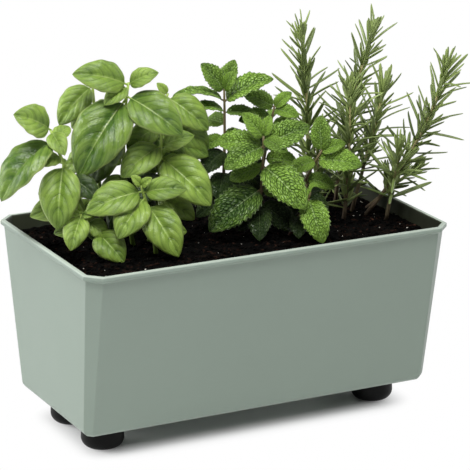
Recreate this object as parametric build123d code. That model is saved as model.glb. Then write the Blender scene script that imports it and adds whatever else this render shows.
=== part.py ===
"""Indoor herb planter: a drafted eight-sided trough on rubber feet, planted with basil, mint and rosemary.

Millimetres, +Z up. The origin is the middle of the footprint, on the surface that the feet stand on.
"""
import os
from math import cos, radians, sin, sqrt, tan

from build123d import *

# Trough
RIM_LENGTH = 350.0
RIM_WIDTH = 210.0
RIM_OVERHANG = 2.5
RIM_LIP = 3.7
RIM_COVE = 2.5
RIM_ROUND = 1.2
RIM_INNER_BEVEL = 0.6
BODY_HEIGHT = 153.0
END_DRAFT = 2.06
SIDE_DRAFT = 10.55
TOP_CORNER = 11.3
BASE_CORNER = 6.0
BASE_ROUND = 8.0
WALL = 2.0
FLOOR = 3.0
INSIDE_ROUND = 5.0

# Feet and their screws
FOOT_HEIGHT = 24.0
FOOT_RADIUS = 19.0
FOOT_TOP_RADIUS = 18.4
FOOT_SOLE_RADIUS = 10.0
FOOT_END_INSET = 32.5
FOOT_SIDE_INSET = 40.0
FOOT_WELL_RADIUS = 6.8
FOOT_WELL_DEPTH = 13.0
SCREW_RADIUS = 1.9
SCREW_HEAD_RADIUS = 3.8
SCREW_HEAD_HEIGHT = 2.4
SCREW_GRIP = 9.0
SCREW_CLEARANCE = 0.1
SCREW_TIP_ROOM = 1.0
WASHER_OVERLAP = 2.4
WASHER_THICKNESS = 1.0
BOSS_WALL = 3.5
BOSS_CAP = 3.0

# Drain and its bung
DRAIN_RADIUS = 8.0
DRAIN_COLLAR_WALL = 3.5
DRAIN_COLLAR_HEIGHT = 2.0
BUNG_CLEARANCE = 0.3
BUNG_TAPER = 0.7
BUNG_SHANK = 8.0
BUNG_FLANGE_OVERLAP = 4.0
BUNG_FLANGE_HEIGHT = 2.6
BUNG_KNOB_RADIUS = 5.0
BUNG_NECK_RADIUS = 3.5
BUNG_KNOB_HEIGHT = 7.0

# Raised drain grate, fleece and soil
GRATE_CLEARANCE = 0.8
GRATE_OVER_BOSS = 5.0
GRATE_THICKNESS = 2.4
GRATE_LEG_RADIUS = 5.0
GRATE_LEG_END_INSET = 77.0
GRATE_LEG_SIDE_INSET = 22.0
GRATE_SLOT_LENGTH = 30.0
GRATE_SLOT_WIDTH = 5.0
GRATE_SLOT_PITCH_X = 42.0
GRATE_SLOT_PITCH_Y = 20.0
GRATE_EDGE = 24.0
FLEECE_THICKNESS = 2.5
SOIL_CLEARANCE = 0.2
SOIL_BELOW_RIM = 14.0
ROOT_BALL_GAP = 10.0
ROOT_BALL_TAPER = 8.0
ROOT_BALL_CORNER = 12.0
ROOT_BALL_DEPTH = 72.0

# Herbs: where each root ball stands, and how thick its stems and leaves are
BASIL_END_INSET = 85.0
ROSEMARY_END_INSET = 51.0
MINT_TO_ROSEMARY = 88.0
HERB_ROW_Y = 6.0
BASIL_STEM = (4.4, 2.4)
MINT_STEM = (3.6, 2.0)
ROSEMARY_STEM = (4.2, 1.6)
STEM_STEPS = 4
LEAF_THICKNESS = 0.8
PETIOLE_WIDTH = 2.0
LEAF_FOLD = 0.16
LEAF_ARCH = 0.10
NEEDLE_LENGTH = 30.0
NEEDLE_TOP_LENGTH = 19.0
NEEDLE_WIDTH = 2.8
NEEDLE_THICKNESS = 1.0
NEEDLE_TIP = 0.4
NEEDLE_PITCH = 5.5
NEEDLE_BARE_STEM = 26.0
NEEDLE_LOW_SPREAD = 66.0
NEEDLE_TOP_SPREAD = 30.0
NEEDLE_TURN = 90.0
NEEDLE_FIRST_TURN = 25.0
STEM_SMALL_STEP = 0.01

# Leaf outlines: share of the length, share of the half width; the blade starts at the end of the petiole
BASIL_OUTLINE = [(0.14, 0.10), (0.28, 0.80), (0.50, 1.00), (0.78, 0.62), (1.00, 0.04)]
MINT_OUTLINE = [(0.10, 0.12), (0.24, 0.84), (0.46, 1.00), (0.76, 0.58), (1.00, 0.04)]
BASIL_WIDTH = 0.60
MINT_WIDTH = 0.56

# Leaves turn their faces to the light, which comes from above the front left corner
LIGHT = Vector(-0.36, -0.66, 0.66)

# Shoots: foot and tip are places around the herb's own centre, with heights above the soil, and bow is how
# far the stem bends aside at half its height. A leaf is its height on the stem, the compass bearing and rise
# of its midrib, its length and, where it differs from its kind, its roll off the light and its breadth.
BASIL_SHOOTS = [
    ((6, 2), (6, 8, 146), (-6, 2), [
        (144, 165, 15, 50), (144, 320, 25, 30), (142, 190, -25, 28), (134, 310, -30, 60), (132, 190, -50, 80),
        (113, 40, -18, 32), (110, 145, -55, 70), (94, 85, -12, 44), (68, 20, -10, 24), (66, 200, -50, 38)]),
    ((-22, -4), (-67, 9, 112), (-3, 0), [
        (112, 180, 28, 38, 0, 1.3), (110, 275, -33, 28), (103, 185, -42, 70, -26), (102, 35, 20, 24),
        (82, 233, -64, 58), (80, 60, -12, 30), (60, 120, -15, 40), (46, 170, -10, 46), (43, 357, -25, 20)]),
    ((-18, -24), (-50, -12, 40), (0, 0), [
        (40, 180, 15, 14), (39, 300, 10, 14), (34, 217, -45, 28), (33, 330, -35, 18), (25, 162, -10, 33),
        (17, 285, -22, 34)]),
    ((14, -28), (0, -28, 64), (2, 0), [
        (63, 190, 45, 15), (62, 310, 45, 14), (58, 170, -16, 53), (57, 330, 5, 38),
        (52, 205, -38, 46, 0, 1.1), (46, 296, -48, 54), (24, 352, -12, 32)]),
    ((24, 8), (33, 0, 104), (3, 0), [
        (103, 185, 45, 14), (102, 315, 40, 13), (88, 190, -27, 48), (87, 330, 20, 31), (77, 307, -36, 62),
        (76, 20, 5, 24), (44, 316, -33, 40), (42, 35, -5, 29)]),
    ((18, 28), (49, 20, 129), (-3, 2), [
        (128, 153, 50, 14), (126, 324, -39, 47), (112, 340, -40, 54), (111, 130, -35, 31), (95, 60, -25, 46),
        (70, 347, -24, 47), (68, 97, -20, 38), (36, 65, -12, 40)]),
    ((-14, 24), (-15, 38, 141), (2, 3), [
        (139, 176, -45, 45), (139, 0, 55, 16), (122, 30, -35, 29), (121, 140, -47, 30), (104, 80, -30, 46),
        (82, 142, -37, 36), (80, 18, -27, 32), (50, 100, -25, 42), (28, 150, -8, 38)]),
]
MINT_SHOOTS = [
    ((-28, 16), (-27, 10, 130), (3, 2), [
        (128, 167, 50, 33), (128, 298, 54, 24), (129, 3, 69, 28), (119, 160, 12, 46, -48),
        (118, 333, 26, 48, 24), (109, 173, 8, 32, -34), (108, 330, -8, 30, 28), (96, 95, -5, 32),
        (84, 167, -20, 24), (82, 20, 12, 22),
        (58, 85, -12, 34), (36, 140, -10, 34)]),
    ((-10, -18), (-8, -29, 94), (2, 0), [
        (92, 166, 50, 30), (93, 7, 67, 20), (91, 307, -22, 25), (84, 181, -21, 42), (83, 340, 23, 45),
        (82, 148, 7, 42), (66, 300, -34, 56), (64, 134, -25, 34), (44, 180, -34, 60), (42, 354, -6, 34),
        (18, 200, -18, 26)]),
    ((8, 20), (21, 6, 110), (0, 2), [
        (109, 162, 29, 31), (108, 348, 39, 21), (107, 318, -12, 24), (96, 75, -8, 34), (95, 165, -13, 22),
        (94, 341, -24, 33), (70, 95, -18, 38), (60, 351, -13, 33), (58, 177, -24, 22), (34, 62, -14, 34)]),
    ((30, -4), (52, -26, 73), (-2, 2), [
        (72, 83, 80, 32), (71, 333, 23, 24), (64, 325, -6, 41), (63, 168, -21, 27), (46, 345, -20, 28),
        (45, 137, -23, 24), (26, 60, -12, 28)]),
    ((18, -30), (27, -53, 44), (0, 0), [
        (43, 285, 25, 14), (43, 40, 30, 14), (38, 266, -50, 44), (37, 85, -5, 26), (20, 240, -25, 30)]),
]
ROSEMARY_SPRIGS = [
    ((-22, 28), (-27, 32, 168), (4, 0)),
    ((8, 28), (40, 15, 170), (-7, 0)),
    ((-4, -10), (-3, -17, 126), (2, 0)),
    ((20, -6), (67, -67, 150), (10, -4)),
    ((29, -29), (27, -56, 78), (0, 0)),
    ((34, 15), (71, -19, 46), (-3, -2)),
    ((-18, 8), (-26, 2, 84), (0, 2)),
]

# Sizes and heights that follow from those above
CORNER_INSET = 2.0 - sqrt(2.0)
TOP_LENGTH = RIM_LENGTH - 2 * RIM_OVERHANG
TOP_WIDTH = RIM_WIDTH - 2 * RIM_OVERHANG
BASE_LENGTH = TOP_LENGTH - 2 * BODY_HEIGHT * tan(radians(END_DRAFT))
BASE_WIDTH = TOP_WIDTH - 2 * BODY_HEIGHT * tan(radians(SIDE_DRAFT))
RIM_CORNER = TOP_CORNER + CORNER_INSET * RIM_OVERHANG
RIM_TOP = FOOT_HEIGHT + BODY_HEIGHT
FLOOR_TOP = FOOT_HEIGHT + FLOOR
SCREW_HOLE = SCREW_RADIUS + SCREW_CLEARANCE
SCREW_HOLE_TOP = FOOT_HEIGHT + SCREW_GRIP + SCREW_TIP_ROOM
BOSS_TOP = SCREW_HOLE_TOP + BOSS_CAP
GRATE_BASE = BOSS_TOP + GRATE_OVER_BOSS
GRATE_TOP = GRATE_BASE + GRATE_THICKNESS
FLEECE_TOP = GRATE_TOP + FLEECE_THICKNESS
SOIL_TOP = RIM_TOP - SOIL_BELOW_RIM
ROOT_BALL_TOP = MINT_TO_ROSEMARY - ROOT_BALL_GAP
ROSEMARY_X = RIM_LENGTH / 2 - ROSEMARY_END_INSET
HERB_PLACES = {
    "basil": (BASIL_END_INSET - RIM_LENGTH / 2, HERB_ROW_Y),
    "mint": (ROSEMARY_X - MINT_TO_ROSEMARY, HERB_ROW_Y),
    "rosemary": (ROSEMARY_X, HERB_ROW_Y),
}
FOOT_X = BASE_LENGTH / 2 - FOOT_END_INSET
FOOT_Y = BASE_WIDTH / 2 - FOOT_SIDE_INSET
FOOT_PLACES = {
    "front_left": (-FOOT_X, -FOOT_Y),
    "front_right": (FOOT_X, -FOOT_Y),
    "back_left": (-FOOT_X, FOOT_Y),
    "back_right": (FOOT_X, FOOT_Y),
}


def octagon(length, width, corner, z):
    """A rectangle with its corners cut off, as a face at height z."""
    x = length / 2
    y = width / 2
    points = [(x - corner, -y), (x, -y + corner), (x, y - corner), (x - corner, y),
              (-x + corner, y), (-x, y - corner), (-x, -y + corner), (-x + corner, -y)]
    return Face(Wire.make_polygon([Vector(px, py, z) for px, py in points]))


def body_section(z, inset):
    """The drafted body's cross-section at height z, drawn in on all sides by inset."""
    share = (z - FOOT_HEIGHT) / BODY_HEIGHT
    length = BASE_LENGTH + (TOP_LENGTH - BASE_LENGTH) * share
    width = BASE_WIDTH + (TOP_WIDTH - BASE_WIDTH) * share
    corner = BASE_CORNER + (TOP_CORNER - BASE_CORNER) * share
    return octagon(length - 2 * inset, width - 2 * inset, corner - CORNER_INSET * inset, z)


def body_block(low, high, inset):
    """A solid slice of the drafted body between two heights."""
    return loft([body_section(low, inset), body_section(high, inset)], ruled=True)


def cylinder(x, y, low, high, radius):
    return Pos(x, y, low) * extrude(Circle(radius), high - low)


def make_trough():
    """Thin drafted shell with an out-turned rim, blind screw bosses and a drain hole."""
    body = body_block(FOOT_HEIGHT, RIM_TOP, 0)
    body = fillet(body.faces().sort_by(Axis.Z)[0].edges(), BASE_ROUND)
    lip_base = RIM_TOP - RIM_LIP
    lip_section = octagon(RIM_LENGTH, RIM_WIDTH, RIM_CORNER, lip_base)
    lip = extrude(lip_section, RIM_LIP, dir=(0, 0, 1))
    lip = fillet(lip.faces().sort_by(Axis.Z)[-1].edges(), RIM_ROUND)
    cove = loft([body_section(lip_base - RIM_COVE, 0), lip_section], ruled=True)
    cavity = body_block(FLOOR_TOP, RIM_TOP, WALL)
    cavity = fillet(cavity.faces().sort_by(Axis.Z)[0].edges(), INSIDE_ROUND)
    bevel_base = RIM_TOP - RIM_INNER_BEVEL
    bevel = loft([body_section(bevel_base, WALL), body_section(RIM_TOP, WALL - RIM_INNER_BEVEL)], ruled=True)
    shell = body + cove + lip - cavity - bevel
    for x, y in FOOT_PLACES.values():
        shell += cylinder(x, y, FLOOR_TOP, BOSS_TOP, SCREW_HOLE + BOSS_WALL)
    collar_top = FLOOR_TOP + DRAIN_COLLAR_HEIGHT
    shell += cylinder(0, 0, FLOOR_TOP, collar_top, DRAIN_RADIUS + DRAIN_COLLAR_WALL)
    for x, y in FOOT_PLACES.values():
        shell -= cylinder(x, y, FOOT_HEIGHT, SCREW_HOLE_TOP, SCREW_HOLE)
    shell -= cylinder(0, 0, FOOT_HEIGHT, collar_top, DRAIN_RADIUS)
    return shell


def revolved(outline):
    """A turned solid from (radius, height) corners; a row of two pairs is an arc through the first."""
    edges = []
    for start, end in zip(outline, outline[1:] + outline[:1]):
        stops = [start[-1]] + end
        points = [Vector(radius, 0, height) for radius, height in stops]
        if len(points) == 3:
            edges.append(Edge.make_three_point_arc(*points))
        else:
            edges.append(Edge.make_line(*points))
    return revolve(Face(Wire(edges)), Axis.Z)


def make_foot():
    """Rubber bumper foot with a rounded sole and a well for its washer and screw."""
    bore = SCREW_HOLE + SCREW_CLEARANCE
    round_edge = FOOT_RADIUS - FOOT_SOLE_RADIUS
    mid_bend = round_edge * (1 - sqrt(0.5))
    return revolved([
        [(bore, FOOT_WELL_DEPTH)],
        [(bore, FOOT_HEIGHT)],
        [(FOOT_TOP_RADIUS, FOOT_HEIGHT)],
        [(FOOT_RADIUS, round_edge)],
        [(FOOT_RADIUS - mid_bend, mid_bend), (FOOT_SOLE_RADIUS, 0)],
        [(FOOT_WELL_RADIUS, 0)],
        [(FOOT_WELL_RADIUS, FOOT_WELL_DEPTH)],
    ])


def make_washer():
    ring = Circle(SCREW_HEAD_RADIUS + WASHER_OVERLAP) - Circle(SCREW_HOLE + SCREW_CLEARANCE)
    return Pos(0, 0, FOOT_WELL_DEPTH - WASHER_THICKNESS) * extrude(ring, WASHER_THICKNESS)


def make_screw():
    """Pan-head screw, driven up through the washer and foot into the floor's boss."""
    head_top = FOOT_WELL_DEPTH - WASHER_THICKNESS
    head_base = head_top - SCREW_HEAD_HEIGHT
    tip = FOOT_HEIGHT + SCREW_GRIP
    return revolved([
        [(0, head_base)],
        [(SCREW_HEAD_RADIUS - SCREW_RADIUS / 2, head_base)],
        [(SCREW_HEAD_RADIUS, head_base + SCREW_HEAD_HEIGHT / 2)],
        [(SCREW_HEAD_RADIUS, head_top)],
        [(SCREW_RADIUS, head_top)],
        [(SCREW_RADIUS, tip - SCREW_RADIUS)],
        [(0, tip)],
    ])


def make_bung():
    """Rubber drain bung: tapered shank in the hole, flange under the floor and a knob to pull it by."""
    shank_radius = DRAIN_RADIUS - BUNG_CLEARANCE
    flange_radius = DRAIN_RADIUS + BUNG_FLANGE_OVERLAP
    flange_base = FOOT_HEIGHT - BUNG_FLANGE_HEIGHT
    knob_base = flange_base - BUNG_KNOB_HEIGHT
    knob_middle = flange_base - 2 * BUNG_KNOB_HEIGHT / 3
    neck_base = flange_base - BUNG_KNOB_HEIGHT / 3
    return revolved([
        [(0, knob_base)],
        [(BUNG_NECK_RADIUS, knob_base)],
        [(BUNG_KNOB_RADIUS, knob_middle), (BUNG_NECK_RADIUS, neck_base)],
        [(BUNG_NECK_RADIUS, flange_base)],
        [(flange_radius, flange_base)],
        [(flange_radius, FOOT_HEIGHT)],
        [(shank_radius, FOOT_HEIGHT)],
        [(shank_radius - BUNG_TAPER, FOOT_HEIGHT + BUNG_SHANK)],
        [(0, FOOT_HEIGHT + BUNG_SHANK)],
    ])


def copies_in(room, piece, pitch):
    """How many pieces of a size fit in a row of a given length at a given pitch."""
    return int((room - piece) / pitch) + 1


def make_grate():
    """Slotted false floor on short legs; water drains through it into the space below."""
    plate = body_block(GRATE_BASE, GRATE_TOP, WALL + GRATE_CLEARANCE)
    columns = copies_in(BASE_LENGTH - 2 * GRATE_EDGE, GRATE_SLOT_LENGTH, GRATE_SLOT_PITCH_X)
    rows = copies_in(BASE_WIDTH - 2 * GRATE_EDGE, GRATE_SLOT_WIDTH, GRATE_SLOT_PITCH_Y)
    slot = Pos(0, 0, GRATE_BASE) * extrude(Rectangle(GRATE_SLOT_LENGTH, GRATE_SLOT_WIDTH), GRATE_THICKNESS)
    plate -= [place * slot for place in GridLocations(GRATE_SLOT_PITCH_X, GRATE_SLOT_PITCH_Y, columns, rows)]
    leg_x = BASE_LENGTH / 2 - GRATE_LEG_END_INSET
    leg_y = BASE_WIDTH / 2 - GRATE_LEG_SIDE_INSET
    for x in (-leg_x, leg_x):
        for y in (-leg_y, leg_y):
            plate += cylinder(x, y, FLOOR_TOP, GRATE_BASE, GRATE_LEG_RADIUS)
    return plate


def make_root_ball(place):
    """Square tapered root ball, the shape that its nursery cell gave it."""
    top = octagon(ROOT_BALL_TOP, ROOT_BALL_TOP, ROOT_BALL_CORNER, SOIL_TOP)
    base_size = ROOT_BALL_TOP - 2 * ROOT_BALL_TAPER
    base = octagon(base_size, base_size, ROOT_BALL_CORNER, SOIL_TOP - ROOT_BALL_DEPTH)
    return Pos(place[0], place[1], 0) * loft([base, top], ruled=True)


def make_leaf(root, outline, width, bearing, rise, length, roll=0.0, breadth=1.0):
    """A leaf with a petiole and a folded, arched blade, as a ruled loft of thin V sections."""
    along = Vector(cos(radians(rise)) * cos(radians(bearing)), cos(radians(rise)) * sin(radians(bearing)),
                   sin(radians(rise)))
    lit_face = (LIGHT - along * LIGHT.dot(along)).normalized()
    face = lit_face * cos(radians(roll)) + lit_face.cross(along) * sin(radians(roll))
    side = face.cross(along)
    stations = [(0.0, PETIOLE_WIDTH / 2)]
    for share, fullness in outline:
        stations.append((share, max(fullness * breadth * width * length / 2, PETIOLE_WIDTH / 4)))
    sections = []
    for share, half in stations:
        middle = root + along * (length * share) + face * (LEAF_ARCH * length * 4 * share * (1 - share))
        lift = face * (half * LEAF_FOLD)
        under = face * -LEAF_THICKNESS
        left = middle - side * half + lift
        right = middle + side * half + lift
        sections.append(Wire.make_polygon([left, middle, right, right + under, middle + under, left + under]))
    return Solid.make_loft(sections, ruled=True)


def stem_point(foot, tip, bow, share):
    """The place on a stem at a share of its height, counted from the herb's centre."""
    bend = 4 * share * (1 - share)
    return Vector(foot[0] + (tip[0] - foot[0]) * share + bow[0] * bend,
                  foot[1] + (tip[1] - foot[1]) * share + bow[1] * bend, tip[2] * share)


def make_stem(foot, tip, bow, widths):
    """A square stem that tapers and bends from its foot to its tip."""
    sections = []
    for step in range(STEM_STEPS + 1):
        share = step / STEM_STEPS
        centre = stem_point(foot, tip, bow, share)
        half = (widths[0] + (widths[1] - widths[0]) * share) / 2
        corners = [(-half, -half), (half, -half), (half, half), (-half, half)]
        sections.append(Wire.make_polygon([centre + Vector(x, y, 0) for x, y in corners]))
    return Solid.make_loft(sections, ruled=True)


def make_leafy_shoot(place, shoot, widths, outline, width):
    """One stem of basil or mint with its leaves grown on."""
    foot, tip, bow, leaves = shoot
    stem = make_stem(foot, tip, bow, widths)
    blades = [
        make_leaf(stem_point(foot, tip, bow, height / tip[2]), outline, width, *leaf)
        for height, *leaf in leaves
    ]
    return Pos(place[0], place[1], SOIL_TOP) * stem.fuse(*blades)


def make_needle(root, along, outward, length):
    """A narrow rosemary leaf, flat above and keeled below, that tapers to a blunt tip."""
    across = along.cross(outward).normalized()
    face = across.cross(along)
    sections = []
    for share, scale in ((0.0, 1.0), (1.0, NEEDLE_TIP)):
        middle = root + along * (length * share)
        half = across * (NEEDLE_WIDTH * scale / 2)
        keel = face * (NEEDLE_THICKNESS * scale)
        sections.append(Wire.make_polygon([middle - half, middle + half, middle - keel]))
    return Solid.make_loft(sections, ruled=True)


def make_rosemary_sprig(place, sprig):
    """A woody stem with pairs of needles, each pair turned a quarter from the one below it."""
    foot, tip, bow = sprig
    stem = make_stem(foot, tip, bow, ROSEMARY_STEM)
    needles = []
    count = int((tip[2] - NEEDLE_BARE_STEM) / NEEDLE_PITCH)
    for step in range(count + 1):
        share = (NEEDLE_BARE_STEM + step * NEEDLE_PITCH) / tip[2]
        root = stem_point(foot, tip, bow, share)
        rising = (stem_point(foot, tip, bow, share + STEM_SMALL_STEP) - root).normalized()
        first = rising.cross(Vector(0, 1, 0)).normalized()
        second = rising.cross(first)
        spread = radians(NEEDLE_LOW_SPREAD + (NEEDLE_TOP_SPREAD - NEEDLE_LOW_SPREAD) * share)
        length = NEEDLE_LENGTH + (NEEDLE_TOP_LENGTH - NEEDLE_LENGTH) * share
        turn = radians(NEEDLE_TURN * step + NEEDLE_FIRST_TURN)
        for flip in (1, -1):
            outward = (first * cos(turn) + second * sin(turn)) * flip
            along = rising * cos(spread) + outward * sin(spread)
            needles.append(make_needle(root, along, outward, length))
    return Pos(place[0], place[1], SOIL_TOP) * stem.fuse(*needles)


def at_feet(solid):
    return [Pos(x, y, 0) * solid for x, y in FOOT_PLACES.values()]


def make_parts():
    parts = {"trough": make_trough()}
    foot = make_foot()
    for corner, (x, y) in FOOT_PLACES.items():
        parts["foot_" + corner] = Pos(x, y, 0) * foot
    parts["foot_washers"] = Compound(children=at_feet(make_washer()))
    parts["foot_screws"] = Compound(children=at_feet(make_screw()))
    parts["drain_bung"] = make_bung()
    parts["drain_grate"] = make_grate()
    parts["filter_fleece"] = body_block(GRATE_TOP, FLEECE_TOP, WALL + GRATE_CLEARANCE)
    soil = body_block(FLEECE_TOP, SOIL_TOP, WALL + SOIL_CLEARANCE)
    for herb, place in HERB_PLACES.items():
        parts[herb + "_root_ball"] = make_root_ball(place)
        soil -= parts[herb + "_root_ball"]
    parts["potting_soil"] = soil
    for number, shoot in enumerate(BASIL_SHOOTS, 1):
        parts["basil_shoot_%d" % number] = make_leafy_shoot(
            HERB_PLACES["basil"], shoot, BASIL_STEM, BASIL_OUTLINE, BASIL_WIDTH)
    for number, shoot in enumerate(MINT_SHOOTS, 1):
        parts["mint_shoot_%d" % number] = make_leafy_shoot(
            HERB_PLACES["mint"], shoot, MINT_STEM, MINT_OUTLINE, MINT_WIDTH)
    for number, sprig in enumerate(ROSEMARY_SPRIGS, 1):
        parts["rosemary_sprig_%d" % number] = make_rosemary_sprig(HERB_PLACES["rosemary"], sprig)
    return parts


os.makedirs("parts", exist_ok=True)
for name, solid in make_parts().items():
    export_step(solid, os.path.join("parts", name + ".step"))
    print("%-18s %9.0f mm3" % (name, solid.volume))
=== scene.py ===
# %% [markdown]
# # An indoor herb planter
# A sage-green plastic trough on four black rubber feet, planted with basil, mint and rosemary. The solid
# model gives every piece its true size and place. Here it gets its looks: leaves with veins and teeth,
# crumbly soil, satin plastic and soft studio light. The solid model is loaded first and its size noted, so
# that the last step can tell how much the looks add to it.

# %% Load the solid model
import math
import random
from dataclasses import dataclass
from types import SimpleNamespace

import bmesh
import bpy
from mathutils import Matrix, Vector, noise


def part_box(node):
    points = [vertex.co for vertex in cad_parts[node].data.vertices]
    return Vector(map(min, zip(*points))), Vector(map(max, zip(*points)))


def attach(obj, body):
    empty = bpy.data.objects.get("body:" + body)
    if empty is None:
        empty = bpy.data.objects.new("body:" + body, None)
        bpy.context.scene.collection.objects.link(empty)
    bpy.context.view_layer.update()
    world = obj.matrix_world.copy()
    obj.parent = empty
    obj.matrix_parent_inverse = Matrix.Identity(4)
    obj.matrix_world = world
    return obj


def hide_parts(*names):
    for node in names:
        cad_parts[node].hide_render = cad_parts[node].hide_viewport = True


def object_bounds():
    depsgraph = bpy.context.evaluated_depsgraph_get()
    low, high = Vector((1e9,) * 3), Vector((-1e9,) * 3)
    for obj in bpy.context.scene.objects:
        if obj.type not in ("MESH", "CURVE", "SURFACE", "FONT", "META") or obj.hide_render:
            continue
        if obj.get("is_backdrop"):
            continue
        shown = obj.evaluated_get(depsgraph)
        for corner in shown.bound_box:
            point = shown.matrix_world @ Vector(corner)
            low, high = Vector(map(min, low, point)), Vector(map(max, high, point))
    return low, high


MM = 0.001
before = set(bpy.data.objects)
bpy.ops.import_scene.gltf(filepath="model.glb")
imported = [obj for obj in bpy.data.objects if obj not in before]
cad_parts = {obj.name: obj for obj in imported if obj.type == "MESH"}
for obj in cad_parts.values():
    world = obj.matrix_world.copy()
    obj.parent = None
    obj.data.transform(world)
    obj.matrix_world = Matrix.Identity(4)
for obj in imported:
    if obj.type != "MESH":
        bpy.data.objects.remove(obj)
cad_low, cad_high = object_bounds()
cad_size = [round(side / MM) for side in cad_high - cad_low]
print("solid model:", len(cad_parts), "nodes, size in mm", cad_size)

# %% [markdown]
# The camera comes early, because everything after it is judged through it. It could be dragged into place
# in the viewport, but numbers can be repeated. It looks down a little on the front left corner, from far
# away with a long lens, so that the trough's edges hardly converge.

# %% Camera
VIEW_AZIMUTH = -26.69
VIEW_ELEVATION = 16.8
VIEW_DISTANCE = 2.291
VIEW_TARGET = Vector((0.0117, 0.0, 0.1624))
VIEW_LENS = 197.2

azimuth = math.radians(VIEW_AZIMUTH)
elevation = math.radians(VIEW_ELEVATION)
towards_camera = Vector((
    math.sin(azimuth) * math.cos(elevation), -math.cos(azimuth) * math.cos(elevation), math.sin(elevation)))
camera = bpy.data.objects.new("camera", bpy.data.cameras.new("camera"))
camera.data.lens = VIEW_LENS
camera.location = VIEW_TARGET + towards_camera * VIEW_DISTANCE
camera.rotation_euler = (-towards_camera).to_track_quat("-Z", "Y").to_euler()
bpy.context.scene.collection.objects.link(camera)
bpy.context.scene.camera = camera
print("camera at", [round(place, 3) for place in camera.location])

# %% [markdown]
# Every finish below is a small graph of shader nodes. Such a graph can be drawn in the shader editor, but a
# written one can be read from top to bottom and made again. A few helpers keep it short. The first ones add
# any node and fill or link its inputs, and do sums with sockets.

# %% Node helpers
def add_node(tree, kind, inputs=(), **settings):
    """Add a shader node. An input is a plain value, or the output socket that feeds it."""
    made = tree.nodes.new(kind)
    for name, value in settings.items():
        setattr(made, name, value)
    for key, value in dict(inputs).items():
        if isinstance(value, bpy.types.NodeSocket):
            tree.links.new(value, made.inputs[key])
        else:
            made.inputs[key].default_value = value
    return made


def sum_node(tree, operation, *values):
    """One sum on numbers or sockets."""
    return add_node(tree, "ShaderNodeMath", enumerate(values), operation=operation).outputs[0]


def vector_sum(tree, operation, *values, output="Vector"):
    """One sum on vectors. Its result is a vector, or a number where output is Value."""
    return add_node(tree, "ShaderNodeVectorMath", enumerate(values), operation=operation).outputs[output]


def ease(tree, value, low, high, start=0.0, end=1.0):
    """A smooth step from start to end while value goes from low to high."""
    ramp = add_node(tree, "ShaderNodeMapRange", {
        "Value": value, "From Min": low, "From Max": high, "To Min": start, "To Max": end},
        interpolation_type="SMOOTHSTEP")
    return ramp.outputs["Result"]


print("helpers for nodes and sums ready")

# %% [markdown]
# The other helpers are about surfaces: colours, materials, noise and bumps. The noise reads Object
# coordinates. Generated ones would stretch with a piece, but these are metres, so a grain is as fine on a
# foot as on the trough.

# %% Surface helpers
def mix_colour(tree, share, first, second, blend="MIX"):
    """Mix two colours, each a socket or plain red, green and blue."""
    mix = add_node(tree, "ShaderNodeMix", {0: share}, data_type="RGBA", blend_type=blend)
    for key, colour in ((6, first), (7, second)):
        if isinstance(colour, bpy.types.NodeSocket):
            tree.links.new(colour, mix.inputs[key])
        else:
            mix.inputs[key].default_value = (*colour, 1.0)
    return mix.outputs[2]


def scaled(colour, share):
    """A plain colour made darker or lighter."""
    return [part * share for part in colour]


def new_finish(name, roughness):
    """A material with its node tree and its Principled shader."""
    material = bpy.data.materials.new(name)
    material.use_nodes = True
    shader = material.node_tree.nodes["Principled BSDF"]
    shader.inputs["Roughness"].default_value = roughness
    return material, material.node_tree, shader


def grain(tree, scale, detail=3.0):
    """Noise that sits still on the piece."""
    place = add_node(tree, "ShaderNodeTexCoord").outputs["Object"]
    speckle = add_node(tree, "ShaderNodeTexNoise", {"Vector": place, "Scale": scale, "Detail": detail})
    return speckle.outputs["Fac"]


def dent(tree, shader, height, depth, strength=1.0, over=None):
    """Bump the shader's normal by a height socket, with a depth in metres, over another normal if given."""
    bump = add_node(tree, "ShaderNodeBump", {"Height": height, "Distance": depth, "Strength": strength})
    if over:
        tree.links.new(over, bump.inputs["Normal"])
    tree.links.new(bump.outputs["Normal"], shader.inputs["Normal"])


print("helpers for surfaces ready")

# %% [markdown]
# The trough is moulded plastic with a satin skin. One plain colour would look like paint. A real moulding
# has a very fine spark-eroded grain and varies a little in gloss over a hand's width. So noise carries grain
# and gloss, and a Bevel node rounds the light over the edges, as a mould does, without a change to the solid
# model's mesh. Its normal also tells which edges face up, and these get a painted highlight, a paler sage.
# Inside, the walls get painted shade, a dark film in patches: a wall is inside where its normal points back
# to the middle of the trough.

# %% Sage plastic on the trough
SAGE = (0.236, 0.294, 0.246)
PAINTED_HIGHLIGHT_SAGE = (0.39, 0.45, 0.39)
PAINTED_SHADE_FILM = (0.031, 0.035, 0.021)
CLOUD_SCALE = 9.0
SPLASH_SCALE = 45.0
MOULD_GRAIN = 1400.0
MOULD_EDGE = 1.8 * MM
MIDDLE_WEIGHTS = (1.0, 2.6, 0.0)


def finish_nodes(material, *names):
    """Give nodes of the solid model a finish. Their meshes stay as they are."""
    for name in names:
        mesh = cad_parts[name].data
        mesh.materials.clear()
        mesh.materials.append(material)


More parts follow.
